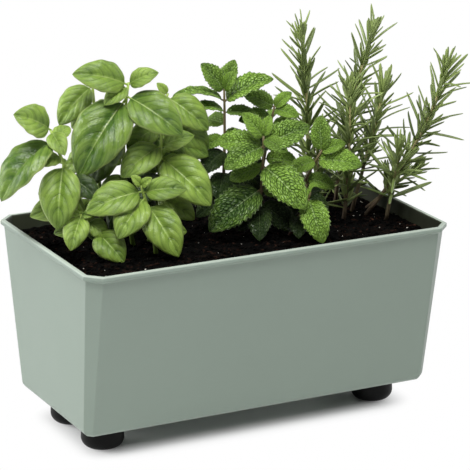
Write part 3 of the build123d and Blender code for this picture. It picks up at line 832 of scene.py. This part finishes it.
# %% Leaf finishes
def leaf_finish(name, kind, old, young, rib, roughness, net, net_depth, groove, crown_highlight, streaks):
    """The upper face of a leaf."""
    material, tree, shader = new_finish(name, roughness)
    lines = leaf_lines(tree, kind, net)
    tone = read_tone(tree)
    grown = ease(tree, tone, 0.62, 0.85, 1.0, 0.6)
    colour = blade_green(tree, lines, tone, old, young, streaks)
    colour = draw_lines(tree, lines, grown, colour, old, rib, groove, crown_highlight)
    # Painted shade: low tones, which the shade tables give, darken the whole colour.
    colour = mix_colour(tree, 1.0, colour, ease(tree, tone, -0.25, 0.30, 0.10, 1.0), "MULTIPLY")
    tree.links.new(colour, shader.inputs["Base Color"])
    pillow = sum_node(tree, "MULTIPLY", ease(tree, lines.off_net, 0.0, 0.3), grown)
    height = sum_node(tree, "SUBTRACT", pillow, lines.vein)
    height = sum_node(tree, "SUBTRACT", height, sum_node(tree, "MULTIPLY", lines.midrib, 0.6))
    dent(tree, shader, height, net_depth, 0.9)
    return material


def plain_leaf(name, low, high, roughness):
    """A leaf's pale underside, or a stem."""
    material, tree, shader = new_finish(name, roughness)
    streaks = grain(tree, 260.0, 4.0)
    age = sum_node(tree, "MULTIPLY_ADD", streaks, 0.3, sum_node(tree, "SUBTRACT", read_tone(tree), 0.15))
    tree.links.new(mix_colour(tree, age, low, high), shader.inputs["Base Color"])
    dent(tree, shader, streaks, 0.05 * MM, 0.6)
    return material


basil_face = leaf_finish(
    "basil_leaf", BASIL, old=(0.050, 0.118, 0.009), young=(0.300, 0.440, 0.075), rib=(0.42, 0.52, 0.18),
    roughness=0.31, net=(5.0, 22.0), net_depth=0.14 * MM, groove=0.15, crown_highlight=0.0, streaks=0.80)
basil_back = plain_leaf("basil_underside", (0.13, 0.23, 0.035), (0.33, 0.46, 0.09), 0.6)
basil_stem = plain_leaf("basil_stem", (0.15, 0.24, 0.04), (0.32, 0.44, 0.08), 0.45)
mint_face = leaf_finish(
    "mint_leaf", MINT, old=(0.031, 0.090, 0.007), young=(0.300, 0.520, 0.060), rib=(0.37, 0.49, 0.21),
    roughness=0.36, net=(2.4, 11.0), net_depth=1.0 * MM, groove=1.00, crown_highlight=0.25, streaks=0.20)
mint_face.node_tree.nodes["Principled BSDF"].inputs["Specular IOR Level"].default_value = 0.35
mint_back = plain_leaf("mint_underside", (0.08, 0.19, 0.03), (0.24, 0.38, 0.07), 0.65)
mint_stem = plain_leaf("mint_stem", (0.085, 0.040, 0.028), (0.16, 0.13, 0.05), 0.5)
print("leaf finishes:", basil_face.name, mint_face.name)

# %% [markdown]
# Each shoot becomes two pieces: its stem with the leaf stalks, and its blades. Modelling both skins of a
# blade would double the work. Instead a Solidify modifier gives the blades their thickness and puts the
# paler finish on their undersides. Short leaves are young and bright, and on this planter the basil gets
# painted shade that makes it a little darker towards the top.

# %% Basil and mint shoots
SEEDS = {"basil": 100, "mint": 200, "rosemary": 300}
LEAF_THICKNESS = 0.5 * MM
FULL_LENGTH = 55
TALL_SHOOT = 150.0
TONE_CHANCE = 0.08
STALK_TAPER = (1.0, 0.85, 0.7, 0.3)
STALK_SIDES = 6
STALK_TONE = 0.9


def leaf_row(height, bearing, rise, length, roll=0, breadth=1):
    """A row of the leaf lists, with roll and breadth filled in where it leaves them out."""
    return height, bearing, rise, length, roll, breadth


def start_blades():
    """An empty bmesh with the UV map that the leaf finishes read."""
    blades = bmesh.new()
    blades.loops.layers.uv.new("leaf_map")
    return blades


def thicken(leafage):
    """Give blades their thickness, with the second finish on the underside."""
    shell = leafage.modifiers.new("thickness", "SOLIDIFY")
    shell.thickness = LEAF_THICKNESS
    shell.offset = -1.0
    shell.material_offset = 1


def grow_shoot(herb, number, shoot, kind, radii, faces, stem_finish):
    """Make one shoot's stem and blades. Returns how many leaves it has."""
    *stem_line, leaves = shoot
    centre = HERB_CENTRES[herb]
    chance = random.Random(SEEDS[herb] + number)
    wood = make_stem(centre, *stem_line, *radii)
    blades = start_blades()
    shades = LEAF_SHADES.get((herb, number), {})
    all_leaves = leaves + HIDDEN_LEAVES.get((herb, number), [])
    for place, row in enumerate(all_leaves):
        height, bearing, rise, length, roll, breadth = leaf_row(*row)
        root = stem_point(centre, *stem_line, height / stem_line[1][2])
        young = max(0.0, 1 - length / FULL_LENGTH)
        # Painted shade: the tone falls with the leaf's height on the stem.
        tone = kind.base - kind.fade * height / TALL_SHOOT + kind.fresh * young
        tone += chance.uniform(-TONE_CHANCE, TONE_CHANCE)
        # Painted shade from the shade tables and on hidden leaves, painted light where a number is below
        # zero.
        tone -= shades.get(place, 0.0 if place < len(leaves) else HIDDEN_SHADE)
        axes = leaf_axes(bearing, rise, roll)
        stalk = add_leaf(blades, kind, root, axes, length * MM, breadth, tone, chance)
        thick = (0.5 + 0.011 * length) * MM
        radii_of_stalk = [thick * share for share in STALK_TAPER]
        add_tube(wood, stalk, radii_of_stalk, STALK_SIDES, [STALK_TONE] * len(stalk))
    add_piece("%s_stem_%d" % (herb, number), wood, [stem_finish])
    thicken(add_piece("%s_leaves_%d" % (herb, number), blades, faces,
                      replaced=["%s_shoot_%d" % (herb, number)]))
    return len(all_leaves)


basil_count = sum(
    grow_shoot("basil", number, shoot, BASIL, (2.2, 1.2), [basil_face, basil_back], basil_stem)
    for number, shoot in enumerate(BASIL_SHOOTS, 1))
mint_count = sum(
    grow_shoot("mint", number, shoot, MINT, (1.8, 1.0), [mint_face, mint_back], mint_stem)
    for number, shoot in enumerate(MINT_SHOOTS, 1))
print("leaves:", basil_count, "basil,", mint_count, "mint")

# %% [markdown]
# Rosemary leaves are needles, dark above with a groove along the middle, and felted pale beneath. The
# groove could be modelled, but a needle is only a few faces wide, so the finish paints its shade from the
# UV map. A stem is brown wood at its foot, dark there partly as painted shade, and paler towards its tip.

# %% Rosemary finishes
needle_face, tree, shader = new_finish("rosemary_leaf", 0.42)
younger = sum_node(tree, "SUBTRACT", read_tone(tree), 0.2)
age = sum_node(tree, "MULTIPLY_ADD", grain(tree, 300.0, 3.0), 0.4, younger)
colour = mix_colour(tree, age, (0.048, 0.080, 0.018), (0.310, 0.400, 0.120))
# Painted shade: a dark line along the middle stands for the groove.
painted_groove_shade = ease(tree, blade_place(tree).reach, 0.0, 0.45, 0.4, 0.0)
colour = mix_colour(tree, painted_groove_shade, colour, (0.024, 0.046, 0.010))
tree.links.new(colour, shader.inputs["Base Color"])
needle_back = plain_leaf("rosemary_underside", (0.12, 0.17, 0.050), (0.32, 0.40, 0.15), 0.75)
# The wood is darkest at its foot, partly as painted shade.
woody = plain_leaf("rosemary_wood", (0.10, 0.066, 0.042), (0.48, 0.44, 0.20), 0.8)
print("rosemary finishes:", needle_face.name, needle_back.name, woody.name)

# %% [markdown]
# A hair system could strew needles, but its hairs are threads, and a rosemary needle is a narrow leaf whose
# edges roll under. There are hundreds of them, so one needle is a grid of a few faces only, bent outwards
# on its way to the tip, with its rows closer together there, where it rounds off. A needle that would cut
# into the trough's right wall or rim is left out.

# %% Rosemary needles
NEEDLE_ROWS = 6
NEEDLE_COLUMNS = 4
NEEDLE_ROLL = 0.75
ROWS_TO_TIP = 1.7
TIP_WIDTH = 0.12 * MM

trough_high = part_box("trough")[1]
WALL_REACH = trough_high.x - 9.0 * MM
RIM_TOP = trough_high.z + 0.8 * MM


def add_needle(body, root, along, outward, length, width, tone, curl, twist):
    """A narrow leaf with rolled edges that bends outwards on its way to the tip."""
    across = along.cross(outward).normalized()
    up = along.cross(across)
    across, up = (across * math.cos(twist) + up * math.sin(twist),
                  up * math.cos(twist) - across * math.sin(twist))
    tone_layer = get_tones(body)
    grid = bmesh.ops.create_grid(
        body, x_segments=NEEDLE_ROWS, y_segments=NEEDLE_COLUMNS, size=0.5, calc_uvs=True)
    for vert in grid["verts"]:
        run = 1 - (0.5 - vert.co.x) ** ROWS_TO_TIP
        side = 2 * vert.co.y
        widening = 0.4 + 0.6 * min(1.0, run * 4)
        rounding = max(0.0, 1 - run ** 5) ** 0.5
        half = 0.5 * width * widening * rounding + TIP_WIDTH
        vert.co = (root + along * (length * run) + across * (half * side)
                   + up * (curl * length * run * run - NEEDLE_ROLL * half * side * side))
        vert[tone_layer] = tone
    if any(vert.co.x > WALL_REACH and vert.co.z < RIM_TOP for vert in grid["verts"]):
        bmesh.ops.delete(body, geom=grid["verts"], context="VERTS")


print("a needle has", NEEDLE_ROWS * NEEDLE_COLUMNS, "faces")

# %% [markdown]
# Needles stand in whorls. A row of the whorl below is one needle: its turn round the stem, how far it leans
# out, its size, its tone and how likely it is. Two long needles stand opposite each other, shorter ones
# fill the quarters between, and small pale ones stand up along the stem and hide it. Each whorl is turned a
# little more than a quarter from the one below, and chance moves every needle, because a strict rule looks
# like a fishbone.

# %% Whorls and tufts
WHORL = [
    (0, 1.0, 1.0, 0.32, 1.0), (180, 1.0, 1.0, 0.32, 1.0),
    (60, 0.75, 0.65, 0.40, 0.40), (240, 0.75, 0.65, 0.40, 0.40),
    (100, 0.35, 0.45, 0.80, 0.85), (280, 0.35, 0.45, 0.80, 0.85),
]
NEEDLE_WIDTH = 3.5 * MM
FOOT_SHIFT = 2.0
TUFT_NEEDLES = 6
TUFT_TURN = 1.05


def sprig_axes(sprig, share):
    """A place on a sprig, the way it rises there, and two directions across it."""
    centre = HERB_CENTRES["rosemary"]
    root = stem_point(centre, *sprig, share)
    rising = (stem_point(centre, *sprig, share + 0.01) - root).normalized()
    first = rising.cross(Vector((0, 1, 0))).normalized()
    return root, rising, first, rising.cross(first)


def add_whorl(needles, sprig, share, turned, chance):
    """One whorl of needles. They are long and spread low down, shorter and closer at the tip."""
    root, rising, first, second = sprig_axes(sprig, share)
    for turn, lean, size, tint, odds in WHORL:
        if chance.random() > odds * min(1.0, 0.55 + 1.4 * share):
            continue
        turn = math.radians(turned + turn) + chance.uniform(-0.7, 0.7)
        outward = first * math.cos(turn) + second * math.sin(turn)
        spread = 60 - 10 * share - 30 * share ** 6 + chance.uniform(-20, 14)
        spread = math.radians(lean * spread + 220 * max(0.0, 0.2 - share))
        length = (38 - 7 * share ** 4 - 11 * share ** 12) * size * chance.uniform(0.7, 1.1) * MM
        along = rising * math.cos(spread) + outward * math.sin(spread)
        tone = min(1.0, max(0.0, tint + 0.40 * share ** 2 + chance.uniform(-0.25, 0.35)))
        width = NEEDLE_WIDTH * (1.02 - 0.22 * share) * chance.uniform(0.8, 1.1)
        shift = rising * chance.uniform(-FOOT_SHIFT, FOOT_SHIFT) * MM
        add_needle(needles, root + shift, along, outward, length, width, tone,
                   chance.uniform(-0.28, 0.06) * lean, chance.uniform(-0.8, 0.8))


def add_tuft(needles, sprig, share, chance):
    """The young needles that stand up round the tip of a sprig."""
    _, rising, first, second = sprig_axes(sprig, share)
    for turn in range(TUFT_NEEDLES):
        outward = first * math.cos(TUFT_TURN * turn) + second * math.sin(TUFT_TURN * turn)
        outward = outward * chance.uniform(0.12, 0.4)
        low = chance.uniform(0.0, 12.0)
        root = stem_point(HERB_CENTRES["rosemary"], *sprig, 1 - (low + 2) / sprig[1][2])
        length = (low + chance.uniform(8, 14)) * MM
        add_needle(needles, root, (rising + outward).normalized(), outward, length,
                   NEEDLE_WIDTH * 0.8, 0.85, -0.05, 0.0)


print("needles in a full whorl:", len(WHORL))

# %% [markdown]
# A sprig is its stem with whorls at an even pitch and a tuft at the tip. Whorls set one by one would be
# slow work, so a loop climbs the stem. It takes wider steps on short sprigs, and starts above the bare
# foot, which is longer where old wood has lost its needles. The one sprig that only fills the bush has no
# solid to stand for.

# %% Rosemary sprigs
NEEDLE_PITCH = 4.7
SHORT_SPRIG = 100.0
SHORT_PITCH = 1.4 * NEEDLE_PITCH
WHORL_TURN = 97
FIRST_TURN = -27
BARE_STEM = 12.0
WOODY_STEMS = {4: 22.0, 5: 24.0, 6: 14.0, 8: 42.0}
SPRIG_RADII = (2.0, 0.8)


def grow_sprig(number, sprig):
    """Make one sprig's stem and needles. Returns how many needles it has."""
    height = sprig[1][2]
    chance = random.Random(SEEDS["rosemary"] + number)
    wood = make_stem(HERB_CENTRES["rosemary"], *sprig, *SPRIG_RADII)
    needles = start_blades()
    pitch = NEEDLE_PITCH if height > SHORT_SPRIG else SHORT_PITCH
    bare = WOODY_STEMS.get(number, BARE_STEM)
    for step in range(int((height - bare) / pitch) + 1):
        share = (bare + step * pitch) / height
        add_whorl(needles, sprig, share, WHORL_TURN * step + FIRST_TURN, chance)
    add_tuft(needles, sprig, share, chance)
    add_piece("rosemary_stem_%d" % number, wood, [woody])
    node = "rosemary_sprig_%d" % number
    leafage = add_piece("rosemary_needles_%d" % number, needles, [needle_face, needle_back],
                        replaced=[node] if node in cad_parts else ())
    thicken(leafage)
    return len(leafage.data.polygons) // (NEEDLE_ROWS * NEEDLE_COLUMNS)


sprigs = enumerate(ROSEMARY_SPRIGS + HIDDEN_SPRIGS, 1)
print("needles on each sprig:", [grow_sprig(number, sprig) for number, sprig in sprigs])

# %% [markdown]
# The floor is plain and pale, and takes the planter's shadow. More light would make it white, but would
# also wash out the planter. So from the feet outwards the floor turns into a sweep that the camera and
# reflections see as plain white, with no more light on anything.

# %% Floor
FLOOR_SIZE = 14.0
FLOOR_PALE = (0.80, 0.80, 0.80, 1.0)
FLOOR_GLOSS = 0.3
SHADE_HALF = (0.125, 0.038, 0.0)
SHADE_EDGE = 0.045

floor_mesh = bmesh.new()
bmesh.ops.create_grid(floor_mesh, x_segments=8, y_segments=8, size=FLOOR_SIZE)
floor_data = bpy.data.meshes.new("floor")
floor_mesh.to_mesh(floor_data)
floor_mesh.free()
floor = bpy.data.objects.new("floor", floor_data)
bpy.context.scene.collection.objects.link(floor)
floor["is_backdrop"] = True
floor_white, tree, shader = new_finish("floor_white", 0.25)
shader.inputs["Base Color"].default_value = FLOOR_PALE
shader.inputs["Specular IOR Level"].default_value = FLOOR_GLOSS
place = add_node(tree, "ShaderNodeTexCoord").outputs["Object"]
aside = vector_sum(tree, "SUBTRACT", vector_sum(tree, "ABSOLUTE", place), SHADE_HALF)
far_off = vector_sum(tree, "LENGTH", vector_sum(tree, "MAXIMUM", aside, (0, 0, 0)), output="Value")
rays = add_node(tree, "ShaderNodeLightPath")
seen = sum_node(tree, "MAXIMUM", rays.outputs["Is Camera Ray"], rays.outputs["Is Glossy Ray"])
sweep_share = sum_node(tree, "MULTIPLY", seen, ease(tree, far_off, 0.0, SHADE_EDGE))
glow = add_node(tree, "ShaderNodeEmission", {"Color": (1, 1, 1, 1), "Strength": 1.0})
sweep = add_node(tree, "ShaderNodeMixShader", {0: sweep_share, 1: shader.outputs[0], 2: glow.outputs[0]})
tree.links.new(sweep.outputs[0], tree.nodes["Material Output"].inputs["Surface"])
floor_data.materials.append(floor_white)
print("floor:", 2 * FLOOR_SIZE, "m wide")

# %% [markdown]
# The light is that of a product studio: a large softbox overhead, a strong one on the left that makes the
# end of the trough the brightest side, a weaker one on the right and a dim white room. A sun lamp would
# throw hard shadows, and large round lamps throw soft ones. The front gets slanting light only, so it stays
# darker.

# %% Light
ROOM_LIGHT = 0.24


def softbox(name, place, size, power):
    """A round area lamp that faces the middle of the planter."""
    lamp = bpy.data.lights.new(name, "AREA")
    lamp.shape = "DISK"
    lamp.size = size
    lamp.energy = power
    box = bpy.data.objects.new(name, lamp)
    box.location = place
    box.rotation_euler = (VIEW_TARGET - Vector(place)).to_track_quat("-Z", "Y").to_euler()
    bpy.context.scene.collection.objects.link(box)
    return box


lamps = [
    softbox("softbox_top", (-0.5, -0.8, 2.1), 1.4, 57),
    softbox("softbox_left", (-1.9, 1.2, 1.0), 1.3, 41),
    softbox("softbox_right", (2.0, 0.2, 0.9), 1.3, 10),
]
world = bpy.data.worlds.new("studio")
world.use_nodes = True
tree = world.node_tree
rays = add_node(tree, "ShaderNodeLightPath")
seen = sum_node(tree, "MAXIMUM", rays.outputs["Is Camera Ray"], rays.outputs["Is Transmission Ray"])
tree.links.new(ease(tree, seen, 0.0, 1.0, ROOM_LIGHT, 1.0), tree.nodes["Background"].inputs["Strength"])
tree.nodes["Background"].inputs["Color"].default_value = (1, 1, 1, 1)
bpy.context.scene.world = world
bpy.context.scene.view_settings.view_transform = "Standard"
print("lights:", {lamp.name: lamp.data.energy for lamp in lamps})

# %% [markdown]
# Last, the size of the dressed model is printed, to be set beside the solid model's. Leaves and needles may
# stand out from their solids by some millimetres, and the measure shows by how much.

# %% Measure and finish
low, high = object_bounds()
print("dressed size in mm:", [round(side / MM) for side in high - low])
